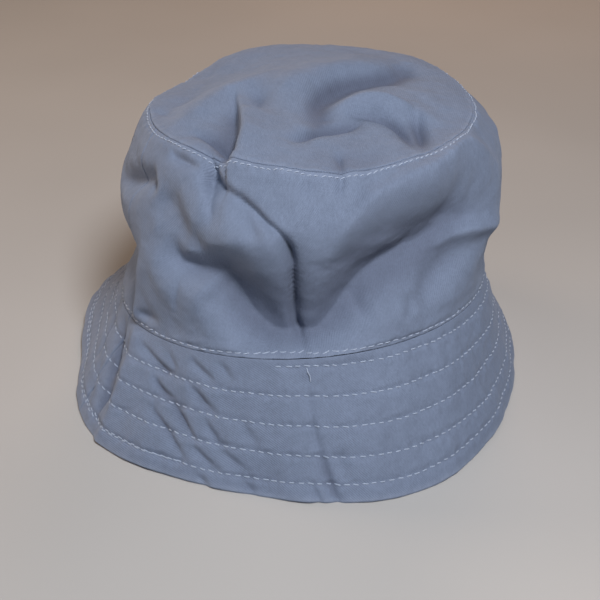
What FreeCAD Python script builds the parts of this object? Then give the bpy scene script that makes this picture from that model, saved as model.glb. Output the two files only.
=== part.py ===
import FreeCAD, Part

import math
import os

from FreeCAD import Vector

# Bucket hat, unworn, standing on its brim. Millimetres, +Z up.
# X runs from side seam to side seam, -Y is the front. Angles are degrees counterclockwise from +X,
# so 0 and 180 are the side seams, 90 is the centre back and 270 the centre front.

# Head opening: the oval seam between crown and brim
BASE_HALF_X = 95.5
BASE_HALF_Y = 90.5
BASE_HEIGHT = 51.5
BASE_SLOPE_X = 0.008
BASE_SLOPE_Y = -0.096

# Crown tip: the oval seam between side band and tip
TIP_HALF_X = 81.0
TIP_HALF_Y = 79.0
TIP_SHIFT_X = 9.0
TIP_SHIFT_Y = 11.0
TIP_HEIGHT = 141.5
TIP_SLOPE_X = 0.010
TIP_SLOPE_Y = -0.009
TIP_CROWNING = 5.5

# Fullness of the side band
BAND_FULLNESS = 13.0
BAND_FULLNESS_SKEW = 1.4
SEAM_STIFFNESS = 0.2
SEAM_GRIP = 16.0

# Brim
BRIM_WIDTH = 60.0
BRIM_EXTRA_FRONT = 8.0
BRIM_EXTRA_SPREAD = 50.0

# Cloths and clearances
TWILL = 0.7
STIFFENER = 0.6
LINING = 0.5
SWEATBAND = 0.9
PLY_GAP = 0.25
SEAM_GAP = 0.3
LINING_EASE = 0.6
SWEATBAND_EASE = 0.6
SWEATBAND_WIDTH = 28.0

# Topstitching
THREAD_WIDTH = 0.6
THREAD_RISE = 0.5
THREAD_GAP = 0.3
TIP_ROW_DROP = 1.5
BASE_ROW_RISE = 1.8
QUILT_START = 3.3
QUILT_PITCH = 14.0
QUILT_EDGE_MARGIN = 9.5
QUILT_START_ANGLE = 237.0
SWEATBAND_ROW_DROP = 2.5

# Soft slump of the cloth. Each entry is one push or lift with its place and its spread.
# Brim edge pushed out (+) or in (-): angle, spread in degrees, mm
BRIM_PUSHES = [
    (155, 20, -11.0),
    (195, 14, 4.0),
    (270, 22, 5.5),
    (305, 20, -1.5),
    (337, 20, -2.5),
    (5, 18, 5.0),
]
# Brim edge lifted off the table: angle, half width in degrees, mm
BRIM_LIFTS = [(90, 85, 13.0)]
# Side band pushed out (+) or in (-): angle, share of band height, spreads in degrees and share, mm
BAND_PUSHES = [
    (165, 0.30, 22, 0.20, -13.0),
    (165, 0.72, 22, 0.20, -3.5),
    (195, 0.60, 22, 0.20, -4.0),
    (345, 0.30, 22, 0.20, -6.5),
    (15, 0.68, 22, 0.20, 4.0),
    (0, 0.88, 22, 0.15, 7.0),
]
# Tip raised (+) or sunk (-): x and y as shares of the tip's half axes, spreads as shares, mm
TIP_DENTS = [
    (-0.42, 0.75, 0.43, 0.38, -4.0),
    (0.26, 0.75, 0.43, 0.38, 6.0),
    (0.75, 0.37, 0.37, 0.44, 5.5),
    (0.00, 0.11, 0.74, 0.50, 8.5),
    (-0.11, 0.87, 0.31, 0.25, 6.0),
    (-0.75, -0.45, 0.30, 0.30, 2.5),
]

# Main folds. Each is a line of points, then its half widths in mm on the left and right of the line,
# as seen from outside when going along it.
# Side band: angle, share of band height, mm out (+) or in (-)
BAND_FOLDS = [
    # V of sunken cloth in the front, with its foot at the brim seam
    ([(196, 0.60, 0.0), (205, 0.45, -9.0), (217, 0.43, -14.5), (227, 0.18, -15.0), (240, 0.09, -10.0),
      (250, 0.12, -13.0), (261, 0.27, -19.5), (272, 0.40, -23.0), (286, 0.47, -20.5), (298, 0.56, -13.0),
      (310, 0.535, -5.0), (320, 0.48, 0.0)], 20.0, 10.0),
    # swelling over its right arm
    ([(324, 0.66, 0.0), (306, 0.90, 6.0), (285, 0.90, 7.5), (264, 0.85, 6.0), (250, 0.50, 0.0)], 16.0, 9.0),
    # ridge under its right arm
    ([(322, 0.46, 0.0), (307, 0.525, 4.5), (295, 0.51, 5.0), (286, 0.41, 3.0), (283, 0.36, 0.0)], 7.0, 7.0),
]
# Tip: x and y as shares of its half axes, mm up (+) or down (-)
TIP_FOLDS = [
    # lip that runs out to the seam at the front left
    ([(-0.43, 0.16, 0.0), (-0.58, -0.22, 5.0), (-0.70, -0.43, 5.0), (-0.79, -0.61, 1.5)], 14.0, 7.0),
    # ridge at the left
    ([(-0.98, -0.10, 0.0), (-0.76, 0.00, 3.6), (-0.46, 0.16, 3.6), (-0.06, 0.22, 0.0)], 10.0, 8.0),
    # arc-shaped valley and the fold in front of it
    ([(-0.26, -0.53, 0.0), (-0.06, -0.26, -5.6), (0.21, -0.04, -6.6), (0.50, 0.04, -5.6), (0.80, 0.18, 0.0)],
     8.0, 10.0),
    ([(-0.10, -0.46, 0.0), (0.10, -0.36, 4.4), (0.32, -0.42, 5.2), (0.47, -0.68, 0.0)], 8.0, 8.0),
]

# Fineness of the interpolated cloth surfaces
ANGLE_STEP = 4.0
ROWS = 19
FRONT = (180.0, 360.0)
BACK = (0.0, 180.0)
WHOLE_TURN = (90.0, 450.0)
ROW_OPENING = 1.0


def wrapped(angle):
    return (angle + 180.0) % 360.0 - 180.0


def bell(distance, spread):
    return math.exp(-((distance / spread) ** 2))


def swell(distance, half_width):
    """A smooth hump that is exactly zero beyond half_width."""
    share = abs(distance) / half_width
    return 0.0 if share >= 1.0 else (1.0 + math.cos(math.pi * share)) / 2.0


def fold_rise(folds, x, y):
    """Height in mm that the folds add at a place. Places are in mm on the surface laid flat."""
    total = 0.0
    for line, left, right in folds:
        nearest, rise, width = math.inf, 0.0, left
        for (x_0, y_0, rise_0), (x_1, y_1, rise_1) in zip(line, line[1:]):
            run_x, run_y = x_1 - x_0, y_1 - y_0
            share = ((x - x_0) * run_x + (y - y_0) * run_y) / (run_x ** 2 + run_y ** 2)
            share = min(max(share, 0.0), 1.0)
            off_x, off_y = x - x_0 - share * run_x, y - y_0 - share * run_y
            distance = math.hypot(off_x, off_y)
            if distance < nearest:
                nearest = distance
                rise = rise_0 + (rise_1 - rise_0) * share
                width = left if run_x * off_y - run_y * off_x > 0 else right
        total += rise * bell(nearest, width)
    return total


def laid_flat(folds, length_x, length_y):
    """The same folds with their places in mm."""
    return [([(x * length_x, y * length_y, rise) for x, y, rise in line], left, right)
            for line, left, right in folds]


def oval_radius(half_x, half_y, angle):
    across = half_y * math.cos(math.radians(angle))
    along = half_x * math.sin(math.radians(angle))
    return half_x * half_y / math.hypot(across, along)


def outward(angle):
    return Vector(math.cos(math.radians(angle)), math.sin(math.radians(angle)), 0)


def base_point(angle):
    spot = outward(angle) * oval_radius(BASE_HALF_X, BASE_HALF_Y, angle)
    spot.z = BASE_HEIGHT + BASE_SLOPE_X * spot.x + BASE_SLOPE_Y * spot.y
    return spot


def smooth(share):
    share = min(max(share, 0.0), 1.0)
    return share * share * (3.0 - 2.0 * share)


def seam_grip(distance):
    """0 at a seam that holds the cloth's folds down, and 1 from SEAM_GRIP mm away from it."""
    return smooth(distance / SEAM_GRIP)


def tip_height(x, y):
    along_x = (x - TIP_SHIFT_X) / TIP_HALF_X
    along_y = (y - TIP_SHIFT_Y) / TIP_HALF_Y
    height = TIP_HEIGHT + TIP_SLOPE_X * x + TIP_SLOPE_Y * y
    height += TIP_CROWNING * (1.0 - along_x ** 2 - along_y ** 2)
    for dent_x, dent_y, spread_x, spread_y, rise in TIP_DENTS:
        height += rise * bell(along_x - dent_x, spread_x) * bell(along_y - dent_y, spread_y)
    from_seam = (1.0 - math.hypot(along_x, along_y)) * TIP_HALF_Y
    folds = fold_rise(FLAT_TIP_FOLDS, along_x * TIP_HALF_X, along_y * TIP_HALF_Y)
    return height + folds * seam_grip(from_seam)


def tip_seam_point(angle):
    spot = outward(angle) * oval_radius(TIP_HALF_X, TIP_HALF_Y, angle)
    spot += Vector(TIP_SHIFT_X, TIP_SHIFT_Y, 0)
    spot.z = tip_height(spot.x, spot.y)
    return spot


def brim_front():
    return BRIM_WIDTH + BRIM_EXTRA_FRONT


def brim_lift(angle):
    return sum(rise * swell(wrapped(angle - at), half) for at, half, rise in BRIM_LIFTS)


def brim_edge_point(angle):
    start = base_point(angle)
    width = BRIM_WIDTH + BRIM_EXTRA_FRONT * bell(wrapped(angle - 270), BRIM_EXTRA_SPREAD)
    lift = brim_lift(angle)
    reach = math.sqrt(max(width ** 2 - (start.z - lift) ** 2, (width / 10.0) ** 2))
    reach += sum(push * bell(wrapped(angle - at), spread) for at, spread, push in BRIM_PUSHES)
    edge = start + outward(angle) * reach
    edge.z = lift
    return edge


def brim_point(angle, share):
    """share is 0 at the crown seam and 1 at the brim's edge."""
    start = base_point(angle)
    return start + (brim_edge_point(angle) - start) * share


def band_point(angle, share):
    """share is 0 at the brim seam and 1 at the tip seam."""
    start = base_point(angle)
    spot = start + (tip_seam_point(angle) - start) * share
    push = BAND_FULLNESS * math.sin(math.pi * max(share, 0.0) ** BAND_FULLNESS_SKEW)
    hold = smooth(min(share, 1.0 - share) / SEAM_STIFFNESS)
    for at, height, spread, reach, depth in BAND_PUSHES:
        push += depth * bell(wrapped(angle - at), spread) * bell(share - height, reach) * hold
    arc = math.radians(angle % 360.0) * BASE_HALF_X
    folds = fold_rise(FLAT_BAND_FOLDS, arc, share * BAND_HEIGHT)
    push += folds * seam_grip(min(share, 1.0 - share) * BAND_HEIGHT)
    return spot + outward(angle) * push


def band_length(angle):
    return (tip_seam_point(angle) - base_point(angle)).Length


def brim_length(angle):
    return (brim_edge_point(angle) - base_point(angle)).Length


def inward_normal(surface_point, angle, share):
    """Unit normal that points to the inside of the hat."""
    small = 0.01
    around = surface_point(angle + small, share) - surface_point(angle - small, share)
    up = surface_point(angle, share + small) - surface_point(angle, share - small)
    normal = around.cross(up)
    normal.normalize()
    return normal if normal.dot(outward(angle)) < 0 else normal * -1


def spread_evenly(first, last, count):
    return [first + (last - first) * i / (count - 1) for i in range(count)]


def surface_through(rows):
    surface = Part.BSplineSurface()
    surface.interpolate(rows)
    return surface


def solid_from(faces):
    shell = Part.makeShell(faces)
    shell.sewShape()
    solid = Part.makeSolid(shell)
    if solid.Volume < 0:
        solid.reverse()
    return solid


def side_face(outer_curve, inner_curve):
    return outer_curve.makeRuledSurface(inner_curve).toShape()


def flat_side_face(outer_curve, inner_curve):
    ends = zip(*[(c.StartPoint, c.EndPoint) for c in (outer_curve, inner_curve)])
    edges = [outer_curve.toShape(), inner_curve.toShape()] + [Part.makeLine(*pair) for pair in ends]
    return Part.Face(Part.Wire(Part.__sortEdges__(edges)))


def cloth(place, angles, shares, flat_foot=False):
    """Solid between two faces. place(angle, share, side) gives a point, side 0 outside, 1 inside."""
    outer = surface_through([[place(a, s, 0) for s in shares] for a in angles])
    inner = surface_through([[place(a, s, 1) for s in shares] for a in angles])
    faces = [outer.toShape(), inner.toShape()]
    u_first, u_last, v_first, v_last = outer.bounds()
    for u in (u_first, u_last):
        faces.append(side_face(outer.uIso(u), inner.uIso(u)))
    faces.append(side_face(outer.vIso(v_first), inner.vIso(v_first)))
    foot = flat_side_face if flat_foot else side_face
    faces.append(foot(outer.vIso(v_last), inner.vIso(v_last)))
    return solid_from(faces)


def panel_angles(first, last, radius):
    """Angles of a panel, short of its side seams by half the seam gap."""
    trim = math.degrees(SEAM_GAP / 2.0 / radius)
    count = int(round((last - first) / ANGLE_STEP)) + 1
    return spread_evenly(first + trim, last - trim, count)


def band_layer(depth, thickness, low, high):
    """Cloth that lies depth inside the side band's face, from low mm above the brim seam
    to high mm below the tip seam."""
    def place(angle, share, side):
        length = band_length(angle)
        along = (low + (length - low - high) * share) / length
        sink = depth + thickness * side
        return band_point(angle, along) + inward_normal(band_point, angle, along) * sink
    return place


def brim_layer(depth, thickness):
    """Cloth that lies depth under the brim's face and ends on the brim's edge height."""
    def place(angle, share, side):
        length = brim_length(angle)
        along = (SEAM_GAP + (length - SEAM_GAP) * share) / length
        sink = depth + thickness * side
        spot = brim_point(angle, along) + inward_normal(brim_point, angle, along) * sink
        slope = brim_edge_point(angle) - base_point(angle)
        slope.normalize()
        overshoot = brim_lift(angle) - (brim_edge_point(angle) + (spot - brim_point(angle, along))).z
        return spot + slope * (overshoot / slope.z * share)
    return place


def row_ribbon(surface_point, share_at, depth, first, last, across):
    """Flat thread along one row of stitches. depth is negative outside the cloth, and across is
    the length in mm that one whole share stands for at an angle."""
    count = int(round((last - first) / ANGLE_STEP)) + 1

    def place(angle, share, side):
        half = THREAD_WIDTH / 2.0 / across(angle)
        along = share_at(angle) + half * (2.0 * share - 1.0)
        sink = depth + THREAD_RISE * side
        return surface_point(angle, along) + inward_normal(surface_point, angle, along) * sink
    return cloth(place, spread_evenly(first, last, count), [0.0, 0.5, 1.0])


def tip_disc(depth, thickness, inset):
    """Oval panel that follows the tip's height, depth below its face."""
    half_x = TIP_HALF_X - inset
    half_y = TIP_HALF_Y - inset
    count = 2 * ROWS - 1
    xs = spread_evenly(TIP_SHIFT_X - 1.1 * half_x, TIP_SHIFT_X + 1.1 * half_x, count)
    ys = spread_evenly(TIP_SHIFT_Y - 1.1 * half_y, TIP_SHIFT_Y + 1.1 * half_y, count)
    sheets = []
    for sink in (depth, depth + thickness):
        sheets.append(surface_through([[Vector(x, y, tip_height(x, y) - sink) for y in ys] for x in xs]))
    upper, lower = sheets
    faces = [upper.toShape(), lower.toShape()]
    u_first, u_last, v_first, v_last = upper.bounds()
    for u in (u_first, u_last):
        faces.append(side_face(upper.uIso(u), lower.uIso(u)))
    for v in (v_first, v_last):
        faces.append(side_face(upper.vIso(v), lower.vIso(v)))
    slab = solid_from(faces)
    centre = Vector(TIP_SHIFT_X, TIP_SHIFT_Y, 0)
    turned = half_y > half_x
    rim = Part.Ellipse(centre, max(half_x, half_y), min(half_x, half_y))
    if turned:
        rim.rotate(FreeCAD.Placement(centre, FreeCAD.Rotation(Vector(0, 0, 1), 90), centre))
    column = Part.Face(Part.Wire(rim.toShape())).extrude(Vector(0, 0, 2 * TIP_HEIGHT))
    return slab.common(column).Solids[0]


def quilt_share(angle):
    """Place of the brim's spiral row, which winds outwards from the crown seam to the edge row.
    Its sizes hold at the centre front, and the rows close up where the brim is narrower."""
    turned = (angle - QUILT_START_ANGLE) / 360.0
    return min(QUILT_START + QUILT_PITCH * turned, brim_front() - QUILT_EDGE_MARGIN) / brim_front()


def quilt_angles():
    """First and last angle of the spiral, with one whole turn along the edge."""
    turns = (brim_front() - QUILT_EDGE_MARGIN - QUILT_START) / QUILT_PITCH + 1.0
    return QUILT_START_ANGLE, QUILT_START_ANGLE + 360.0 * turns


BAND_HEIGHT = TIP_HEIGHT - BASE_HEIGHT
FLAT_BAND_FOLDS = laid_flat(BAND_FOLDS, math.radians(1.0) * BASE_HALF_X, BAND_HEIGHT)
FLAT_TIP_FOLDS = laid_flat(TIP_FOLDS, TIP_HALF_X, TIP_HALF_Y)


def build():
    lining_depth = TWILL + LINING_EASE
    sweatband_depth = lining_depth + LINING + SWEATBAND_EASE
    under_depth = TWILL + PLY_GAP + STIFFENER + PLY_GAP
    brim_depth = under_depth + TWILL
    shares = spread_evenly(0.0, 1.0, ROWS)
    nodes = {}
    nodes["crown_tip"] = tip_disc(0.0, TWILL, 0.0)
    nodes["lining_tip"] = tip_disc(lining_depth, LINING, lining_depth)
    for name, (first, last) in (("front", FRONT), ("back", BACK)):
        angles = panel_angles(first, last, BASE_HALF_X)
        flat = name == "front"
        band = band_layer(0.0, TWILL, SEAM_GAP / 2.0, TWILL + PLY_GAP)
        nodes["side_band_" + name] = cloth(band, angles, shares)
        lining = band_layer(lining_depth, LINING, SEAM_GAP / 2.0, lining_depth + LINING + PLY_GAP)
        nodes["lining_side_" + name] = cloth(lining, angles, shares)
        nodes["brim_top_" + name] = cloth(brim_layer(0.0, TWILL), angles, shares, flat)
        stiffener = brim_layer(TWILL + PLY_GAP, STIFFENER)
        nodes["brim_interlining_" + name] = cloth(stiffener, angles, shares, flat)
        under = brim_layer(under_depth, TWILL)
        nodes["brim_under_" + name] = cloth(under, angles, shares, flat)
    band_top = band_length(90) - SWEATBAND_WIDTH
    strip = band_layer(sweatband_depth, SWEATBAND, SEAM_GAP / 2.0, band_top)
    nodes["sweatband"] = cloth(strip, panel_angles(*WHOLE_TURN, BASE_HALF_Y), shares)

    outside = -THREAD_RISE - THREAD_GAP
    start, end = WHOLE_TURN[0], WHOLE_TURN[1] - ROW_OPENING
    nodes["tip_stitch_thread"] = row_ribbon(
        band_point, lambda a: 1.0 - TIP_ROW_DROP / band_length(a), outside, start, end, band_length)
    nodes["crown_base_stitch_thread"] = row_ribbon(
        band_point, lambda a: BASE_ROW_RISE / band_length(a), outside, start, end, band_length)
    first, last = quilt_angles()
    nodes["brim_needle_thread"] = row_ribbon(
        brim_point, quilt_share, outside, first, last, brim_length)
    nodes["brim_bobbin_thread"] = row_ribbon(
        brim_point, quilt_share, brim_depth + THREAD_GAP, first, last, brim_length)
    nodes["sweatband_stitch_thread"] = row_ribbon(
        band_point, lambda a: (SWEATBAND_WIDTH - SWEATBAND_ROW_DROP) / band_length(a),
        sweatband_depth + SWEATBAND + THREAD_GAP, start, end, band_length)
    return nodes


def stand_at_origin(nodes):
    """Move every piece so that the hat's box is centred over the origin and stands on z = 0."""
    whole = Part.Compound(list(nodes.values())).optimalBoundingBox(False)
    shift = Vector(-whole.Center.x, -whole.Center.y, -whole.ZMin)
    for shape in nodes.values():
        shape.translate(shift)


os.makedirs("parts", exist_ok=True)
pieces = build()
stand_at_origin(pieces)
for piece_name, piece in pieces.items():
    print(piece_name, "valid", piece.isValid(), "solids", len(piece.Solids), "mm3", round(piece.Volume, 1))
    piece.exportStep("parts/" + piece_name + ".step")
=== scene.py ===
import math

import bpy
import numpy as np
from mathutils import Matrix, Vector


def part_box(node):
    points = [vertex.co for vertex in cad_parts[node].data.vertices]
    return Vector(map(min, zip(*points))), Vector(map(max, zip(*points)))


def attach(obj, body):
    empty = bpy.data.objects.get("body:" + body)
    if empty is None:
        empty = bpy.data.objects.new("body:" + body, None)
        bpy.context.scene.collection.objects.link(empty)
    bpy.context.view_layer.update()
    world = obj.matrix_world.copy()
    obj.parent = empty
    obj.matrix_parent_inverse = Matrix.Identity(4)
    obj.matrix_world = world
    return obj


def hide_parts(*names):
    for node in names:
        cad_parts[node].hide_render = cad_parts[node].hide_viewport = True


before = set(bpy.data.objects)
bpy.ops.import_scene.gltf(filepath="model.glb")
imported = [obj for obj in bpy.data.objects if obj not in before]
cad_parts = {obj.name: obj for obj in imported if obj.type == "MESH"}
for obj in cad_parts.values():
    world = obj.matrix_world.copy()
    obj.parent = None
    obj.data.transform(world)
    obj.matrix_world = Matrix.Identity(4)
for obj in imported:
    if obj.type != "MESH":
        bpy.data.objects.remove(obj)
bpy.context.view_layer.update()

# Bucket hat in soft cotton twill. Lengths are millimetres until a mesh is made. Angles are degrees
# counterclockwise from +X: side seams at 0 and 180, centre back at 90, centre front at 270.
MM = 0.001

# ---- Driving dimensions of the hat, the same as the CAD's ----
BASE_HALF = (95.5, 90.5)
BASE_HEIGHT = 51.5
BASE_SLOPE = (0.008, -0.096)
TIP_HALF = (81, 79)
TIP_SHIFT = (9, 11)
TIP_HEIGHT = 141.5
TIP_SLOPE = (0.01, -0.009)
TIP_CROWNING = 5.5
BAND_FULLNESS = 13
BAND_FULLNESS_SKEW = 1.4
SEAM_STIFFNESS = 0.2
BRIM_WIDTH = 60
BRIM_EXTRA_FRONT = 8
BRIM_EXTRA_SPREAD = 50

TWILL = 0.7
STIFFENER = 0.6
LINING = 0.5
SWEATBAND = 0.9
PLY_GAP = 0.25
SEAM_GAP = 0.3
LINING_EASE = 0.6
SWEATBAND_EASE = 0.6
SWEATBAND_WIDTH = 28
LINING_DEPTH = TWILL + LINING_EASE
SWEATBAND_DEPTH = LINING_DEPTH + LINING + SWEATBAND_EASE
STIFFENER_DEPTH = TWILL + PLY_GAP
UNDER_DEPTH = STIFFENER_DEPTH + STIFFENER + PLY_GAP
BRIM_DEPTH = UNDER_DEPTH + TWILL

TIP_ROW_DROP = 1.5
BASE_ROW_RISE = 1.8
SWEATBAND_ROW_DROP = 2.5
QUILT_START = 3.3
QUILT_PITCH = 14
QUILT_EDGE_MARGIN = 9.5
QUILT_START_ANGLE = 237

# Slump of the soft cloth, as in the CAD. Brim's edge pushed out: angle, spread in degrees, mm
BRIM_PUSHES = [
    (155, 20, -11), (195, 14, 4), (270, 22, 5.5), (305, 20, -1.5), (337, 20, -2.5), (5, 18, 5),
]
# Back of the brim lifted: angle, half width in degrees, mm
BRIM_LIFT = (90, 85, 13)
# Side band pushed out: angle, share of height, spread of each, mm
BAND_PUSHES = [
    (165, 0.3, 22, 0.2, -13), (165, 0.72, 22, 0.2, -3.5), (195, 0.6, 22, 0.2, -4),
    (345, 0.3, 22, 0.2, -6.5), (15, 0.68, 22, 0.2, 4), (0, 0.88, 22, 0.15, 7),
]
# Tip raised: place and spread along x and y as shares of its half axes, mm
TIP_DENTS = [
    (-0.42, 0.75, 0.43, 0.38, -4), (0.26, 0.75, 0.43, 0.38, 6), (0.75, 0.37, 0.37, 0.44, 5.5),
    (0, 0.11, 0.74, 0.5, 8.5), (-0.11, 0.87, 0.31, 0.25, 6), (-0.75, -0.45, 0.3, 0.3, 2.5),
]


def bell(distance, spread):
    return np.exp(-((distance / spread) ** 2))


def smooth(share):
    share = np.clip(share, 0, 1)
    return share * share * (3 - 2 * share)


def wrapped(angle):
    return (angle + 180) % 360 - 180


def outward(angle):
    turn = np.radians(angle)
    return np.stack([np.cos(turn), np.sin(turn), np.zeros_like(turn)], axis=-1)


def unit(vectors):
    return vectors / np.linalg.norm(vectors, axis=-1, keepdims=True)


def oval_radius(half, angle):
    turn = np.radians(angle)
    return half[0] * half[1] / np.hypot(half[1] * np.cos(turn), half[0] * np.sin(turn))


def base_point(angle):
    spot = outward(angle) * oval_radius(BASE_HALF, angle)[..., None]
    spot[..., 2] = BASE_HEIGHT + BASE_SLOPE[0] * spot[..., 0] + BASE_SLOPE[1] * spot[..., 1]
    return spot


def tip_point(along_x, along_y):
    """Point of the crown's tip. Its place is given as shares of the tip's half axes."""
    x = TIP_SHIFT[0] + TIP_HALF[0] * along_x
    y = TIP_SHIFT[1] + TIP_HALF[1] * along_y
    height = TIP_HEIGHT + TIP_SLOPE[0] * x + TIP_SLOPE[1] * y
    height = height + TIP_CROWNING * (1 - along_x ** 2 - along_y ** 2)
    for dent_x, dent_y, spread_x, spread_y, rise in TIP_DENTS:
        height = height + rise * bell(along_x - dent_x, spread_x) * bell(along_y - dent_y, spread_y)
    return np.stack([x, y, height], axis=-1)


def rim_place(angle):
    """The tip seam's place at an angle, as shares of the tip's half axes."""
    spot = outward(angle) * oval_radius(TIP_HALF, angle)[..., None]
    return spot[..., 0] / TIP_HALF[0], spot[..., 1] / TIP_HALF[1]


def brim_lift(angle):
    at, half_width, rise = BRIM_LIFT
    share = np.minimum(np.abs(wrapped(angle - at)) / half_width, 1)
    return rise * (1 + np.cos(np.pi * share)) / 2


def brim_edge_point(angle):
    start = base_point(angle)
    width = BRIM_WIDTH + BRIM_EXTRA_FRONT * bell(wrapped(angle - 270), BRIM_EXTRA_SPREAD)
    lift = brim_lift(angle)
    reach = np.sqrt(np.maximum(width ** 2 - (start[..., 2] - lift) ** 2, (width / 10) ** 2))
    for at, spread, push in BRIM_PUSHES:
        reach = reach + push * bell(wrapped(angle - at), spread)
    edge = start + outward(angle) * reach[..., None]
    edge[..., 2] = lift
    return edge


def brim_point(angle, share):
    """share is 0 at the crown seam and 1 at the brim's edge."""
    start = base_point(angle)
    return start + (brim_edge_point(angle) - start) * share[..., None]


def brim_length(angle):
    return np.linalg.norm(brim_edge_point(angle) - base_point(angle), axis=-1)


def band_point(angle, share):
    """share is 0 at the brim seam and 1 at the tip seam."""
    start = base_point(angle)
    spot = start + (tip_point(*rim_place(angle)) - start) * share[..., None]
    push = BAND_FULLNESS * np.sin(np.pi * np.maximum(share, 0) ** BAND_FULLNESS_SKEW)
    hold = smooth(np.minimum(share, 1 - share) / SEAM_STIFFNESS)
    for at, height, spread, reach, depth in BAND_PUSHES:
        push = push + depth * bell(wrapped(angle - at), spread) * bell(share - height, reach) * hold
    return spot + outward(angle) * push[..., None]


def band_length(angle):
    return np.linalg.norm(tip_point(*rim_place(angle)) - base_point(angle), axis=-1)


def normal_of(surface, first, second, step, away):
    """Unit normal of a surface, on the side that faces along the vectors away."""
    along = surface(first + step[0], second) - surface(first - step[0], second)
    across = surface(first, second + step[1]) - surface(first, second - step[1])
    normal = unit(np.cross(along, across))
    return normal * np.sign(np.sum(normal * away, axis=-1, keepdims=True))


# Distances over which a normal is taken: degrees and share of height or width, shares of half axes
NORMAL_STEP = (0.5, 0.01)
TIP_NORMAL_STEP = (0.01, 0.01)


def band_normal(angle, share):
    return normal_of(band_point, angle, share, NORMAL_STEP, outward(angle))


def brim_normal(angle, share):
    return normal_of(brim_point, angle, share, NORMAL_STEP, outward(angle) + (0, 0, 1))


def tip_normal(along_x, along_y):
    return normal_of(tip_point, along_x, along_y, TIP_NORMAL_STEP, np.array((0, 0, 1)))


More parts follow.
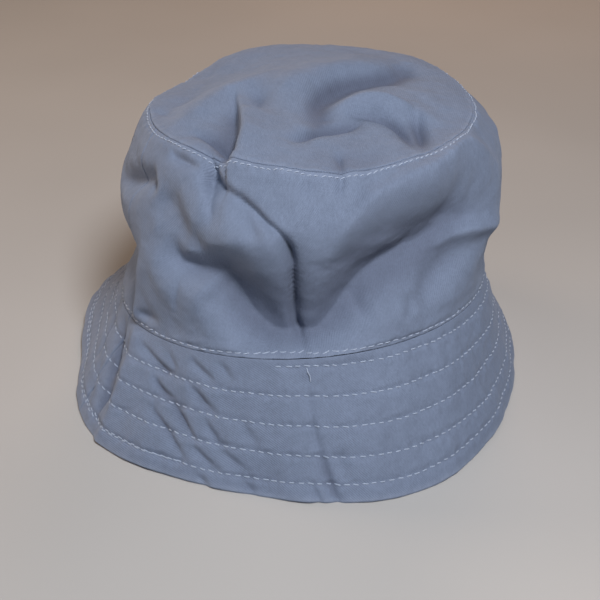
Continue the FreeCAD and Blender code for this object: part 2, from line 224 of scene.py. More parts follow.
# ---- Folds ----
# A fold is a line on a surface, and each of its points gives the place and how far the
# cloth rises (+) or sinks (-) there, in mm. left and right are its half widths in mm, as seen from
# outside when going along the line: one for the whole line or one for each point. crease rounds the
# bottom, and a small one makes it sharp.
# Side band: angle, percent of its height, rise
BAND_FOLDS = [
    # the V of sunken cloth: left arm, its foot at the brim seam, right arm
    ([(196, 60, 0), (201, 51, -4.5), (205, 45, -8.5), (211, 43, -11.5), (217, 42, -14.5), (220, 35, -17.5),
      (223.5, 26, -19.5), (227, 17.5, -20), (231.5, 11, -19.5), (236, 7, -18.5), (240.5, 5, -17.5),
      (245, 5, -17), (250, 9, -17), (255.5, 16.5, -19.5), (261, 26, -22), (266, 33, -24), (272, 39, -25),
      (279, 44, -24.5), (286, 47, -22.5), (292, 52, -20), (298, 56, -16.5), (304, 56.5, -12),
      (311, 53, -6.5), (318, 49, -2), (324, 47, 0)],
      (9, 12, 15, 19, 23, 27, 30, 31, 31, 31, 31, 31, 30, 29, 29, 30, 31, 32, 31, 30, 29, 28, 26, 21, 16),
      (7, 7, 7, 7, 7, 7, 7, 6, 6, 6, 6, 6, 7, 8, 9, 10, 11, 13, 14, 14, 13, 11, 9, 7, 6), 1.2),
    # narrow core of the left arm's upper half
    ([(199, 53, 0), (202, 51, -2.5), (203.5, 45.5, -3), (207.5, 43, -3.4), (213, 44, -2.6),
      (217.5, 43, -1.6), (220, 35, -0.8), (223.5, 25.6, 0)], 7, 5, 0.6),
    # swelling over the right arm, the crease along the middle of its flank and the flank's right end
    ([(324, 66, 0), (316, 82, 3), (306, 94, 6.5), (297, 94, 9), (285, 91, 10), (274, 90, 9.5), (264, 86, 8),
      (258, 78, 6), (253.5, 67, 4), (249, 52, 0)], 16, 6, 1),
    ([(300, 60, 0), (296.5, 64.5, -1.5), (287.5, 68, -3), (274, 71, -3.5), (264, 69, -3.5), (259.5, 62, -3),
      (255.5, 53, -2), (250, 43, 0)], 9, 11, 1.5),
    ([(307, 93, 0), (300, 88, -1.5), (296, 80, -2.4), (294.5, 72, -2.4), (294, 65, -1.6), (292, 60, 0)], 8,
      7, 2),
    # edge over the left arm
    ([(212, 60, 0), (217, 62, 3.4), (222, 64.5, 5.2), (226, 66.5, 5.6), (230, 68, 5.2), (234, 69, 4),
      (237, 68.5, 2.4), (239.5, 66.5, 0)], 11, (5, 6, 8, 11, 13, 13, 12, 10), 0.5),
    # hook under the tip seam, and its tail
    ([(212.2, 99, -2.5), (211.3, 95.5, -5), (211.5, 91, -6.5), (212.3, 88.5, -6.5), (213.5, 86, -4.8),
      (215, 79, -2.4), (216, 74, -1.4), (216.3, 69, 0)], 4.5, 2.2, 0.4),
    # crease that runs from the hook to the middle of the V, and the soft shade at its left
    ([(212.2, 97, -3), (214, 94, -5), (216.5, 91.5, -5), (219, 89.5, -4.5), (222, 87.5, -4),
      (225, 86, -4.2), (229, 82.5, -4.4), (233, 77.5, -4.4), (236, 74, -4.2), (238.2, 70, -4),
      (239.8, 64.5, -3.4), (240.5, 58, -2), (241, 52, 0)], 1.2,
      (6, 6, 6, 6, 5, 4, 3.2, 2.8, 2.8, 2.8, 3, 3, 3), 0.15),
    ([(222.5, 84.5, 0), (226.3, 79, -2.5), (229.8, 72, -2.5), (231, 66, 0)], 3, 4, 1),
    # crease down the middle of the V, and its narrow core
    ([(235.5, 72, 0), (237.5, 68, -2), (239, 63, -4), (240.3, 54, -5.5), (241, 39, -6.5), (241.8, 23, -5),
      (242, 14.5, -4.5), (243, 9, -5), (244.3, 4.5, -8), (245.5, 0.5, -14)],
      (5, 9, 11, 11, 9, 6, 3.5, 2.4, 2, 1.8), (3, 4, 5, 6, 6, 5, 3, 2.2, 2, 1.8), 0.5),
    ([(237.2, 72, 0), (238.9, 68.5, -2.6), (239.9, 63, -4.2), (240.6, 54, -4.8), (241, 39, -4.8),
      (241.8, 23, -4.6), (242.2, 14.5, -3.6), (243.2, 8, -2.4), (244.3, 4, 0)], 2.4, 2, 0.3),
    # ridge under the right arm and the hollow below it
    ([(328, 40, 0), (320, 43.5, 3), (311, 47.5, 5.2), (304, 50, 5.6), (298, 49.5, 5), (292, 45, 4),
      (287, 40, 2.6), (282, 34, 0)], 5, 5, 0.6),
    ([(314, 42, 0), (308, 40, -3), (302, 37, -5), (296, 33, -6.2), (290.5, 27, -6.2), (286.5, 22, -5.2),
      (283.5, 17, -3), (281, 13, 0)], 6.5, 8, 1.5),
    # small dents low at the right
    ([(262.5, 26, 0), (263, 21, -2.8), (264, 16.5, -3), (265.2, 12, 0)], 3.5, 3, 0.8),
    ([(279.5, 24, 0), (279.5, 19.5, -2.2), (278.8, 14.5, -2), (278.5, 11, 0)], 3.5, 3.5, 1),
    # left side: dent in the bulge, crease at its end, soft valley down to the left arm
    ([(160, 63, 0), (166, 67, -4), (172, 71, -6.5), (180, 76, -7.5), (185.7, 80, -6.5), (188.5, 81, -4),
      (191, 82, 0)], 5, 6, 0.8),
    ([(187, 87, 0), (189, 83.5, -2.4), (191, 79, -3.2), (192.8, 74.5, 0)], 2.8, 3.2, 0.5),
    ([(194.8, 77, 0), (198, 74, -3.5), (201.4, 70.6, -4.5), (205, 65.5, -4.5), (207.4, 60, -3.5),
      (208.4, 54, 0)], 7, 7, 2.5),
    # left side: corner over the brim seam, the hollow behind it, a dent beside it and faint wrinkles
    ([(191, 50, 0), (189.5, 38, 2), (188.2, 29, 3), (187.4, 19, 3.4), (186.6, 10, 3.2), (186.5, 2, 2.4)], 8,
      3.5, 0.6),
    ([(182, 45, 0), (181.5, 35, -3), (181, 20, -4), (180.5, 6, -3)], 4, 7, 1),
    ([(187, 8, 0), (190.5, 7.8, -3), (194, 8.5, -2.6), (197.5, 8, 0)], 3, 4, 0.6),
    ([(205, 40, 0), (205.5, 33, -1.2), (205.5, 25, -1.2), (205, 15, 0)], 4, 1.6, 0.4),
    ([(215, 33, 0), (216.5, 27, -1.6), (217.5, 22, 0)], 3, 3, 1),
    # short creases beside the tip seam
    ([(194.5, 95.5, 0), (196.8, 95.2, -2.2), (201, 95, -3.2), (205, 94.5, -2.4), (208, 94.5, 0)], 1.6, 2.6,
      0.3),
    ([(254.3, 100, -0.9), (254.2, 96, -2), (253.5, 92, -1.8), (253, 87, 0)], 1.8, 2.2, 0.3),
    ([(242, 98, -0.5), (243, 93, -1.5), (244, 86, 0)], 2.2, 3, 0.5),
]

# Crown tip: place in percent of its half axes, rise
TIP_FOLDS = [
    # lip that runs out to the hook, standing over the facet at its left, and the groove at its foot
    ([(-43, 14, 0), (-47, 4, 1.6), (-51, -7, 3.2), (-56, -22, 4.6), (-60.5, -34, 5.4), (-65, -43, 5.6),
      (-69.5, -49, 5.2), (-73.5, -55, 4.4), (-77, -59.5, 3.2), (-79, -62, 2.2)], 15, 1.5, 0.3),
    ([(-45, 12, 0), (-50, 1, -2.2), (-54, -10, -4), (-59, -24, -5.8), (-63.5, -36, -6.8), (-68, -44.5, -7),
      (-72.5, -50.5, -6.4), (-76, -56, -5), (-78.5, -60, -3), (-80, -62.5, -1.4)], 1.6, 12, 0.3),
    # hollow between the lip's upper end and the crest behind it
    ([(-40, 14, 0), (-38, 4, -4.4), (-38, -6, -6.4), (-43, -14, -4.4), (-47, -20, 0)], 7, 7, 2),
    # small crease in the facet, and a dent near the seam
    ([(-86.5, -20, 0), (-83, -25, -3), (-80, -31, -5), (-77.5, -38, -6), (-76, -46, -6), (-75, -53, -3)],
      4.5, 2.8, 0.4),
    ([(-92, 33, 0), (-89, 20, -1.8), (-86, 6, -1.2), (-85, -4, 0)], 2.6, 3.4, 0.5),
    # ridge that parts the facet from the back
    ([(-98, -10, 0.6), (-87, -6, 2.4), (-76, 0, 3.6), (-62, 8, 4), (-46, 16, 3.6), (-28, 20, 2.4),
      (-6, 22, 0)], 10, 8, 0.8),
    # crest that parts the front from the back
    ([(-50, -20, 0), (-36, -11, 1.6), (-22, -4, 2.6), (-6, 3, 3.2), (10, 9, 3.4), (26, 13, 3), (42, 15, 2),
      (56, 17, 0)], 16, 7, 0.8),
    # arc-shaped valley, the bright fold in front of it, and the valleys that bound the fold
    ([(-24, -54, 0), (-17, -42, -4.5), (-10, -30, -7), (-1, -19, -9), (11, -10, -9.5), (25, -3, -9.5),
      (40, 0, -9), (54, 2, -8), (65, 6, -6), (72, 13, -3.5), (78, 20, 0)], 7, 9, 1.5),
    ([(-8, -40, 0), (0, -34, 3.2), (10, -33, 5), (20, -35, 6), (32, -40, 5.8), (42, -48, 4.4),
      (48, -58, 2.2), (50, -68, 0)], 6.5, 5.5, 1),
    ([(-44, -61, 0), (-36, -57, -3.4), (-27, -53, -5.8), (-17, -51, -6.4), (-6, -52, -5.4), (4, -52, -3),
      (10, -52, 0)], 2.8, 4, 0.5),
    ([(2, -42, 0), (10, -43, -3.2), (19, -46, -5.4), (26, -53, -6.2), (29, -63, -5.6), (27, -77, -3.6),
      (23, -90, 0)], 2.8, 5, 0.5),
    # dents that run to the seam
    ([(48, -42, 0), (45, -52, -3), (41, -63, -5), (37, -75, -5), (31, -89, -1.4)], 2.8, 4.4, 0.5),
    ([(-19, -76, 0), (-21.5, -84, -2.2), (-24, -92, -1.8), (-26, -97, -0.8)], 1.8, 2.2, 0.3),
    # soft folds over the back
    ([(70, 20, 0), (62, 45, -2.4), (50, 66, -2.4), (40, 86, 0)], 5, 6, 1),
    ([(-50, 60, 0), (-62, 40, -2), (-80, 26, -1.6), (-93, 20, 0)], 5, 5, 1),
]

# Brim: angle, percent of its width, rise. SHARP is the shape of most puckers: left, right and crease.
SHARP = (1.3, 2.8, 0.25)
BRIM_FOLDS = [
    # corner where the left side turns away, and the hollow beyond it
    ([(187, 2, 1), (188.5, 10, 2.4), (190, 20, 3), (192, 41, 3.2), (192.5, 61, 3.2), (193, 80, 2.6),
      (192.5, 100, 2)], 8, 3.6, 0.5),
    ([(176, 3, 0), (179, 15, -3), (183, 32, -4), (186, 50, -3.6), (187.5, 68, -3), (188, 86, 0)], 4, 7,
      0.8),
    # slanting puckers over the front left
    ([(191, 9, 0), (198, 15, -2.2), (204, 21, -2.3), (208, 22, 0)], *SHARP),
    ([(201, 28, 0), (203, 33, -2.2), (206, 38, -2.4), (211, 42, 0)], *SHARP),
    ([(209, 43, 0), (212, 50, -2.2), (216, 61, -2.4), (219, 70, 0)], *SHARP),
    ([(203, 7, 0), (206, 14, -1.5), (209, 20, 0)], 1.3, 2.6, 0.3),
    ([(211, 5, 0), (214, 11, -1.9), (218, 17, -1.9), (221, 22, 0)], *SHARP),
    ([(213, 26, 0), (216, 32, -2), (219, 38, -2.2), (223, 44, 0)], *SHARP),
    ([(219, 47, 0), (221, 55, -1.8), (224, 63, -1.8), (226, 68, 0)], 1.3, 2.8, 0.3),
    ([(220, 4, 0), (223, 11, -1.3), (226, 19, 0)], 1.4, 2.8, 0.3),
    ([(203, 50, 0), (206, 57, -1.9), (210, 65, -2.1), (214, 76, -1.9), (217, 85, 0)], *SHARP),
    ([(217, 69, 0), (220, 76, -2.1), (223, 81, -2.1), (226, 85, 0)], *SHARP),
    ([(223, 67, 0), (227, 73, -1.5), (230, 78, -1.5), (233, 83, 0)], 1.4, 2.8, 0.3),
    ([(219, 90, 0), (222, 95, -1.7), (224, 100, -0.8)], 1.4, 2.6, 0.3),
    ([(231, 89, 0), (233, 93, -1.3), (235, 98, 0)], 1.4, 2.6, 0.3),
    ([(229, 45, 0), (232, 55, -1.1), (235, 65, 0)], 1.8, 3, 0.4),
    # soft fold down the front and its sharp end at the edge
    ([(246, 12, 0), (246.5, 30, -1), (247.5, 45, -1.7), (249, 65, -1.8), (250.5, 78, -2.6), (251.5, 88, -3),
      (252.5, 96, -2.4), (253, 100, -1.2)], 2, 3.6, 0.3),
    ([(247, 84, 0), (248, 92, -2), (249, 100, -1.4)], 1.5, 2.2, 0.25),
    ([(253.5, 58, 0), (254, 70, -1.5), (255, 84, 0)], 2.6, 3.4, 0.5),
    ([(262, 30, 0), (262.5, 45, -0.8), (263, 60, 0)], 3, 3.4, 0.6),
    # wrinkles of the left side, beyond the corner
    ([(181, 20, 0), (183, 36, -1.4), (185, 54, -1.4), (186, 70, 0)], 1.8, 2.6, 0.4),
    ([(188, 48, 0), (187.5, 66, -1.8), (187.5, 80, -1.8), (189, 90, 0)], 1.6, 2.4, 0.3),
    ([(175, 40, 0), (178, 58, -1.6), (181, 78, -1.4), (182, 92, 0)], 2, 3, 0.4),
    ([(166, 10, 0), (169, 30, -1.6), (171, 50, -1.2), (172, 66, 0)], 2.4, 3.4, 0.6),
]


def smooth_line(points, steps):
    """Points along a smooth line through the given ones (Catmull-Rom)."""
    points = np.array(points, dtype=float)
    padded = np.vstack([2 * points[0] - points[1], points, 2 * points[-1] - points[-2]])
    line = []
    for before, first, second, after in zip(padded, padded[1:], padded[2:], padded[3:]):
        for t in np.arange(steps) / steps:
            line.append(0.5 * (2 * first + (second - before) * t
                               + (2 * before - 5 * first + 4 * second - after) * t ** 2
                               + (3 * first - before - 3 * second + after) * t ** 3))
    line.append(points[-1])
    return np.array(line)


FOLD_STEPS = 4
FOLD_BLEND = 0.8
FOLD_BLEND_SHARE = 0.04
FOLD_REACH = 3
FOLD_POWER = 1.5
NO_WEIGHT = 1e-30


def laid_fold(surface, normals, units, fold):
    """A fold's points and normals on its surface, its rises, half widths and crease."""
    path, left, right, crease = fold
    line = smooth_line(np.array(path) / units, FOLD_STEPS)
    at = np.linspace(0, len(path) - 1, len(line))
    widths = [np.interp(at, range(len(path)), np.broadcast_to(width, len(path))) for width in (left, right)]
    *place, rises = line.T
    return surface(*place), normals(*place), rises, *widths, crease


def fold_relief(folds, points):
    """Height in mm that the folds give to the cloth at each point. A point beside a bent line gets
    a mean of the stretches of line that are about equally near."""
    relief = np.zeros(len(points))
    for spots, normals, rises, left, right, crease in folds:
        widest = max(left.max(), right.max())
        blend = max(FOLD_BLEND, FOLD_BLEND_SHARE * widest)
        reach = FOLD_REACH * widest
        low, high = spots.min(axis=0) - reach, spots.max(axis=0) + reach
        near = np.flatnonzero(np.all((points > low) & (points < high), axis=1))
        cloud = points[near]
        total, weights = np.zeros(len(near)), np.full(len(near), NO_WEIGHT)
        for i, (start, end) in enumerate(zip(spots, spots[1:])):
            along = end - start
            share = np.clip((cloud - start) @ along / (along @ along), 0, 1)
            offset = cloud - start - share[:, None] * along
            distance = np.linalg.norm(offset, axis=1)
            side = offset @ np.cross(along, normals[i]) > 0
            width = np.where(side, right[i], left[i])
            rise = rises[i] + (rises[i + 1] - rises[i]) * share
            weight = np.exp(-distance / blend)
            total += weight * rise * np.exp(-(((np.hypot(distance, crease) - crease) / width) ** FOLD_POWER))
            weights += weight
        relief[near] += total / weights
    return relief


CROWN_RELIEF = [laid_fold(band_point, band_normal, (1, 100, 1), fold) for fold in BAND_FOLDS]
CROWN_RELIEF += [laid_fold(tip_point, tip_normal, (100, 100, 1), fold) for fold in TIP_FOLDS]
BRIM_RELIEF = [laid_fold(brim_point, brim_normal, (1, 100, 1), fold) for fold in BRIM_FOLDS]


WAVE_COUNT = 24
WAVE_STRETCH = (0.7, 1.6)


def unevenness(seed, wavelength):
    """Soft random undulation in space: a function that sums waves with a fixed seed."""
    dice = np.random.RandomState(seed)
    heading = unit(dice.normal(size=(WAVE_COUNT, 3)))
    stretch = dice.uniform(*WAVE_STRETCH, size=(WAVE_COUNT, 1))
    waves = heading * stretch * 2 * np.pi / wavelength
    phases = dice.uniform(0, 2 * np.pi, size=WAVE_COUNT)

    def height(points):
        total = sum(np.sin(points @ wave + phase) for wave, phase in zip(waves, phases))
        return total / math.sqrt(WAVE_COUNT / 2)

    return height


# Undulation of the whole cloth, from broad to fine: height in mm, waves
CLOTH_WAVES = [(0.45, unevenness(11, 46)), (0.16, unevenness(12, 17)), (0.045, unevenness(13, 6.5))]
PUCKER = unevenness(14, 5)


def cloth_relief(folds, spot):
    """Relief of the folds and of the cloth's own unevenness, for a grid or row of points."""
    points = spot.reshape(-1, 3)
    relief = fold_relief(folds, points) + sum(height * waves(points) for height, waves in CLOTH_WAVES)
    return relief.reshape(spot.shape[:-1])


def rolled(distance, radius):
    """How far a cloth that turns in at a seam has sunk, at a distance from the seam."""
    turn = 1 - np.clip(distance / radius, 0, 1)
    return -radius * (1 - np.sqrt(1 - turn ** 2))


def stitched(distance, spread, depth):
    """Groove along a row of stitches."""
    return -depth * bell(distance, spread)


def painted_fold_shade(relief, start, full, amount):
    """Painted shade in folds: 0 where the cloth has sunk by start mm or less, amount where it has sunk by
    full mm or more.
    """
    return amount * smooth((-relief - start) / (full - start))


def rubbed(distance, amount, at, spread):
    """Wear beside a seam or an edge, most at a distance of at mm from it."""
    return amount * bell(distance - at, spread)


# ---- Skins ----
# Each gives the smooth place, the direction of its relief and the relief in mm.
SEAM_BLEND = 9
SEAM_ROLL = 0.8
BASE_ROLL = 0.4
BRIM_ROLL = 0.3
PANEL_ROLL = 0.9
PANEL_SEAMS = (0, 180)
BRIM_FLARE = 0.4
ALLOWANCE_WIDTH = 7
ALLOWANCE_RISE = 0.4
ALLOWANCE_EDGE = (0.55, 0.6)
ALLOWANCE_FADE = 1.5
# How the relief dies out towards the brim seam: what the band keeps of it there, and the distances
BASE_KEPT = 0.12
BASE_FADE = 8
BRIM_FADE = 5
QUILT_FADE_ANGLE = 1.5
# Groove along a row: spread, depth. Puckers beside it: height, reach.
ROW_GROOVE = (0.9, 0.45)
QUILT_GROOVE = (1.5, 0.55)
BAND_PUCKERS = (0.16, 3)
TIP_PUCKERS = (0.12, 3.5)
QUILT_PUCKERS = (0.15, 4)
# Painted shade, darker cloth where folds have sunk: depth at which it starts, depth at which it is full,
# amount
BAND_PAINTED_SHADE = (5, 18, 1)
TIP_PAINTED_SHADE = (0.5, 7, 1.5)
BRIM_PAINTED_SHADE = (0.8, 3.2, 1)
# Rubbed cloth: amount, distance from the seam or edge, spread
SEAM_WEAR = (0.45, 1, 1)
PANEL_WEAR = (0.12, 0.8, 0.8)
EDGE_WEAR = (1, 1, 2.2)
BRIM_PANEL_WEAR = (0.1, 0.8, 0.8)


def rim_direction(angle):
    """Direction of the relief at the tip seam, halfway between the tip's and the band's."""
    return unit(tip_normal(*rim_place(angle)) + band_normal(angle, np.ones_like(angle)))


def seam_distance(angle, radius):
    """Length in mm along the surface to the nearer side seam."""
    gaps = [np.abs(wrapped(angle - seam)) for seam in PANEL_SEAMS]
    return np.radians(np.minimum(*gaps)) * radius


def allowance(distance):
    """Cloth that lies thicker where the turned edges are pressed to one side of a seam."""
    start, width = ALLOWANCE_EDGE
    over = 1 - smooth((distance - start * ALLOWANCE_WIDTH) / (width * ALLOWANCE_WIDTH))
    return ALLOWANCE_RISE * over * smooth(distance / ALLOWANCE_FADE)


def band_skin(angle, share):
    spot = band_point(angle, share)
    length = band_length(angle)
    low, high = share * length, (1 - share) * length
    blend = bell(high, SEAM_BLEND)[..., None]
    direction = unit(band_normal(angle, share) * (1 - blend) + rim_direction(angle) * blend)
    relief = cloth_relief(CROWN_RELIEF, spot)
    relief *= smooth(BASE_KEPT + low / BASE_FADE)
    relief += allowance(high) + allowance(low)
    relief += rolled(high, SEAM_ROLL) + rolled(low, BASE_ROLL)
    relief += rolled(seam_distance(angle, BASE_HALF[0]), PANEL_ROLL)
    relief += stitched(high - TIP_ROW_DROP, *ROW_GROOVE) + stitched(low - BASE_ROW_RISE, *ROW_GROOVE)
    height, reach = BAND_PUCKERS
    near_rows = bell(high - TIP_ROW_DROP, reach) + bell(low - BASE_ROW_RISE, reach)
    relief += height * PUCKER(spot) * near_rows
    return spot, direction, relief


def tip_skin(along_x, along_y):
    spot = tip_point(along_x, along_y)
    angle = np.degrees(np.arctan2(along_y * TIP_HALF[1], along_x * TIP_HALF[0])) % 360
    from_rim = (1 - np.hypot(along_x, along_y)) * oval_radius(TIP_HALF, angle)
    blend = bell(from_rim, SEAM_BLEND)[..., None]
    direction = unit(tip_normal(along_x, along_y) * (1 - blend) + rim_direction(angle) * blend)
    relief = cloth_relief(CROWN_RELIEF, spot)
    relief += rolled(from_rim, SEAM_ROLL)
    height, reach = TIP_PUCKERS
    relief += height * PUCKER(spot) * bell(from_rim, reach)
    return spot, direction, relief


def quilt_share(angle):
    """Place of the spiral row at an angle that goes on counting over its turns."""
    turned = (angle - QUILT_START_ANGLE) / 360
    front = BRIM_WIDTH + BRIM_EXTRA_FRONT
    return np.minimum(QUILT_START + QUILT_PITCH * turned, front - QUILT_EDGE_MARGIN) / front


QUILT_TURNS = (BRIM_WIDTH + BRIM_EXTRA_FRONT - QUILT_EDGE_MARGIN - QUILT_START) / QUILT_PITCH + 1
QUILT_LAST_ANGLE = QUILT_START_ANGLE + 360 * QUILT_TURNS


def quilt_relief(angle, share, spot):
    """Grooves along the quilting rows, and small puckers that run out from them."""
    length = brim_length(angle)
    height, reach = QUILT_PUCKERS
    first_turn = QUILT_START_ANGLE + (angle - QUILT_START_ANGLE) % 360
    relief = np.zeros_like(angle)
    near_row = np.zeros_like(angle)
    for turn in range(math.ceil(QUILT_TURNS)):
        row_angle = first_turn + 360 * turn
        distance = (share - quilt_share(row_angle)) * length
        there = smooth((QUILT_LAST_ANGLE - row_angle) / QUILT_FADE_ANGLE)
        relief += there * stitched(distance, *QUILT_GROOVE)
        near_row = np.maximum(near_row, there * bell(distance, reach))
    return relief + height * near_row * PUCKER(spot)


def brim_skin(angle, share):
    spot = brim_point(angle, share)
    length = brim_length(angle)
    relief = cloth_relief(BRIM_RELIEF, spot) + quilt_relief(angle, share, spot)
    relief *= smooth(share * length / BRIM_FADE)
    relief += rolled(share * length, BRIM_ROLL)
    relief += rolled(seam_distance(angle, BASE_HALF[0] * (1 + BRIM_FLARE * share)), PANEL_ROLL)
    return spot, brim_normal(angle, share), relief


# ---- Meshes ----
def frame_shift():
    """The CAD stands on z = 0 with its box centred, and the tip's box gives the shift in mm."""
    low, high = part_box("crown_tip")
    middle = (Vector(low) + Vector(high)) / 2 / MM
    return np.array((middle.x - TIP_SHIFT[0], middle.y - TIP_SHIFT[1], 0))


SHIFT = frame_shift()


def grid_faces(rows, columns, offset, turned, ring):
    index = offset + np.arange(rows * columns).reshape(rows, columns)
    if ring:
        index = np.vstack([index, index[:1]])
    corners = [index[:-1, :-1], index[1:, :-1], index[1:, 1:], index[:-1, 1:]]
    quads = np.stack([corner.ravel() for corner in corners], axis=1)
    return quads[:, ::-1] if turned else quads


def wall_faces(outer, inner, ring):
    """Quads between the borders of two index grids."""
    borders = [(outer[:, 0], inner[:, 0]), (inner[:, -1], outer[:, -1])]
    if ring:
        borders = [(np.append(a, a[0]), np.append(b, b[0])) for a, b in borders]
    else:
        borders += [(inner[0], outer[0]), (outer[-1], inner[-1])]
    walls = []
    for near, far in borders:
        walls.append(np.stack([near[:-1], far[:-1], far[1:], near[1:]], axis=1))
    return np.vstack(walls)


def added(name, data):
    """A new object of the scene."""
    thing = bpy.data.objects.new(name, data)
    bpy.context.collection.objects.link(thing)
    return thing


def finished_piece(name, points, faces, cloth, wear_and_painted_shade, node, fabric):
    """Makes the object, in metres in the CAD frame, and lets it stand for its CAD node. fabric is
    the node's material slot, which is not used, and the material."""
    slot, material = fabric
    corners = points[faces]
    volume = np.sum(corners[:, 0] * np.cross(corners[:, 1], corners[:, 2]))
    volume += np.sum(corners[:, 0] * np.cross(corners[:, 2], corners[:, 3]))
    faces = faces if volume > 0 else faces[:, ::-1]
    mesh = bpy.data.meshes.new(name)
    mesh.from_pydata(((points + SHIFT) * MM).tolist(), [], faces.tolist())
    mesh.attributes.new("cloth", "FLOAT_VECTOR", "POINT").data.foreach_set("vector", cloth.ravel())
    # This attribute is over 0 where the cloth is rubbed and under 0 for painted shade in sunken folds.
    mesh.attributes.new("wear_and_painted_shade", "FLOAT", "POINT").data.foreach_set("value", wear_and_painted_shade.ravel())
    mesh.shade_smooth()
    mesh.materials.append(material)
    piece = added(name, mesh)
    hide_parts(node)
    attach(piece, "root")


# Step in metres of the weave's third coordinate from a cloth's outer face to its inner one
INNER_CLOTH = 0.01


def cloth_piece(node, outer, inner, cloth, relief, wear_and_painted_shade, fabric, ring=False):
    """Closed thin solid between two grids of points. cloth gives its places on the flat cloth, and the
    relief is their third coordinate, so that the weave doesn't stretch on a steep fold."""
    rows, columns = outer.shape[:2]
    count = rows * columns
    outer_index = np.arange(count).reshape(rows, columns)
    faces = np.vstack([
        grid_faces(rows, columns, 0, False, ring),
        grid_faces(rows, columns, count, True, ring),
        wall_faces(outer_index, outer_index + count, ring),
    ])
    points = np.vstack([outer.reshape(-1, 3), inner.reshape(-1, 3)])
    flat = np.concatenate([cloth, relief[..., None] * MM], axis=2).reshape(-1, 3)
    both = np.vstack([flat, flat + (0, 0, INNER_CLOTH)])
    finished_piece(node + "_cloth", points, faces, both, np.tile(wear_and_painted_shade.ravel(), 2), node, fabric)


def layer_piece(node, skin, depth, thickness, cloth, wear_and_painted_shade, fabric, ring=False):
    """Cloth that lies at a depth under a skin."""
    spot, direction, relief = skin
    outer = spot + direction * (relief - depth)[..., None]
    inner = spot + direction * (relief - depth - thickness)[..., None]
    cloth_piece(node, outer, inner, cloth, relief, wear_and_painted_shade, fabric, ring)


def angle_grid(angles, shares):
    """The angles as a grid, each repeated for all the shares of its row."""
    return np.repeat(angles[:, None], shares.shape[1], axis=1)


# Rows and columns of points beside a seam, in mm and in degrees, and where the even ones take over
SEAM_ROWS = np.concatenate([[0, 0.12, 0.35, 0.65, 1], np.arange(1.4, 6, 0.5)])
SEAM_ROWS_END = 6
SEAM_COLUMNS = np.array([0, 0.1, 0.25, 0.45, 0.7])
SEAM_COLUMNS_END = 1


def band_shares(angles, low, high, step):
    """Shares of the band's height for each angle, from low mm over the brim seam to high mm under
    the tip seam, closer together near both."""
    length = band_length(angles)
    count = int(round((length.mean() - low - high - 2 * SEAM_ROWS_END) / step))
    middle = np.arange(1, count) / count
    rows = []
    for full in length:
        between = (SEAM_ROWS_END + low) + middle * (full - low - high - 2 * SEAM_ROWS_END)
        rows.append(np.concatenate([low + SEAM_ROWS, between, (full - high - SEAM_ROWS)[::-1]]) / full)
    return np.array(rows)


def panel_angles(span, step):
    """Angles of a panel's columns of points, closer together at its seams."""
    first, last = span
    trim = math.degrees(SEAM_GAP / 2 / BASE_HALF[0])
    even = last - first - 2 * SEAM_COLUMNS_END
    count = int(round(even / step))
    middle = first + SEAM_COLUMNS_END + np.arange(count + 1) * even / count
    return np.concatenate([first + trim + SEAM_COLUMNS, middle, (last - trim - SEAM_COLUMNS)[::-1]])


def band_piece(node, span, depth, thickness, low, high, angle_step, row_step, fabric, ring=False):
    """One layer of the side band."""
    angles = np.arange(*span, angle_step) if ring else panel_angles(span, angle_step)
    shares = band_shares(angles, low, high, row_step)
    angle = angle_grid(angles, shares)
    skin = band_skin(angle, shares)
    length = band_length(angle)
    cloth = np.stack([np.radians(angle - 270) * BASE_HALF[0], shares * length], axis=2) * MM
    edge = np.minimum(shares, 1 - shares) * length
    wear_and_painted_shade = rubbed(edge, *SEAM_WEAR) + rubbed(seam_distance(angle, BASE_HALF[0]), *PANEL_WEAR)
    # painted shade: the band is darker where its folds have sunk
    wear_and_painted_shade -= painted_fold_shade(skin[2], *BAND_PAINTED_SHADE)
    layer_piece(node, skin, depth, thickness, cloth, wear_and_painted_shade, fabric, ring)


# Spacing of the tip's points at its rim, and the share of the way in over which it widens
RIM_SPACING = 0.2
RIM_REACH = 0.03


def tip_spacing(inset):
    """Spacing of the tip's points at a share of the way in from its rim."""
    return RIM_SPACING + (1 - RIM_SPACING) * inset / (inset + RIM_REACH)


def tip_piece(node, depth, thickness, count, fabric):
    """Oval panel on a square grid that is bent round to the oval, closer together at the rim."""
    side = np.linspace(-1, 1, count)
    across, along = np.meshgrid(side, side, indexing="ij")
    along_x = across * np.sqrt(1 - along ** 2 / 2)
    along_y = along * np.sqrt(1 - across ** 2 / 2)
    radius = np.maximum(np.hypot(along_x, along_y), 1e-9)
    inset = np.clip(1 - radius, 0, 1)
    packed = inset * tip_spacing(inset) / tip_spacing(1)
    share = (1 - packed) * (1 - depth / min(TIP_HALF)) / radius
    share = np.where(radius < 1e-6, 0, share)
    skin = tip_skin(along_x * share, along_y * share)
    # paler where the seam rubs it, and darker with painted shade where the tip's folds have sunk
    wear_and_painted_shade = rubbed(packed * min(TIP_HALF), *SEAM_WEAR) - painted_fold_shade(skin[2], *TIP_PAINTED_SHADE)
    layer_piece(node, skin, depth, thickness, skin[0][..., :2] * MM, wear_and_painted_shade, fabric)


# Turn of a brim panel as it was cut, as a share of its turn on the hat
CUT_CONE = 0.65


def brim_flat_pattern(angle, share):
    """Cloth coordinates of a brim panel as it was cut, an arc of a ring."""
    length = brim_length(angle)
    cone = BASE_HALF[0] / CUT_CONE
    turn = np.radians(wrapped(angle - 270)) * BASE_HALF[0] / cone
    radius = cone + share * length
    return np.stack([radius * np.sin(turn), radius * np.cos(turn)], axis=2) * MM


# Rows of points beside the crown seam, where the even ones take over, and the turn over the edge
BRIM_START = 0.05
BRIM_ROWS = np.array([0, 0.2, 0.5, 0.9, 1.4])
BRIM_ROWS_END = 2
EDGE_TURNS = 7
EDGE_CLOTH = (0.3, 2)


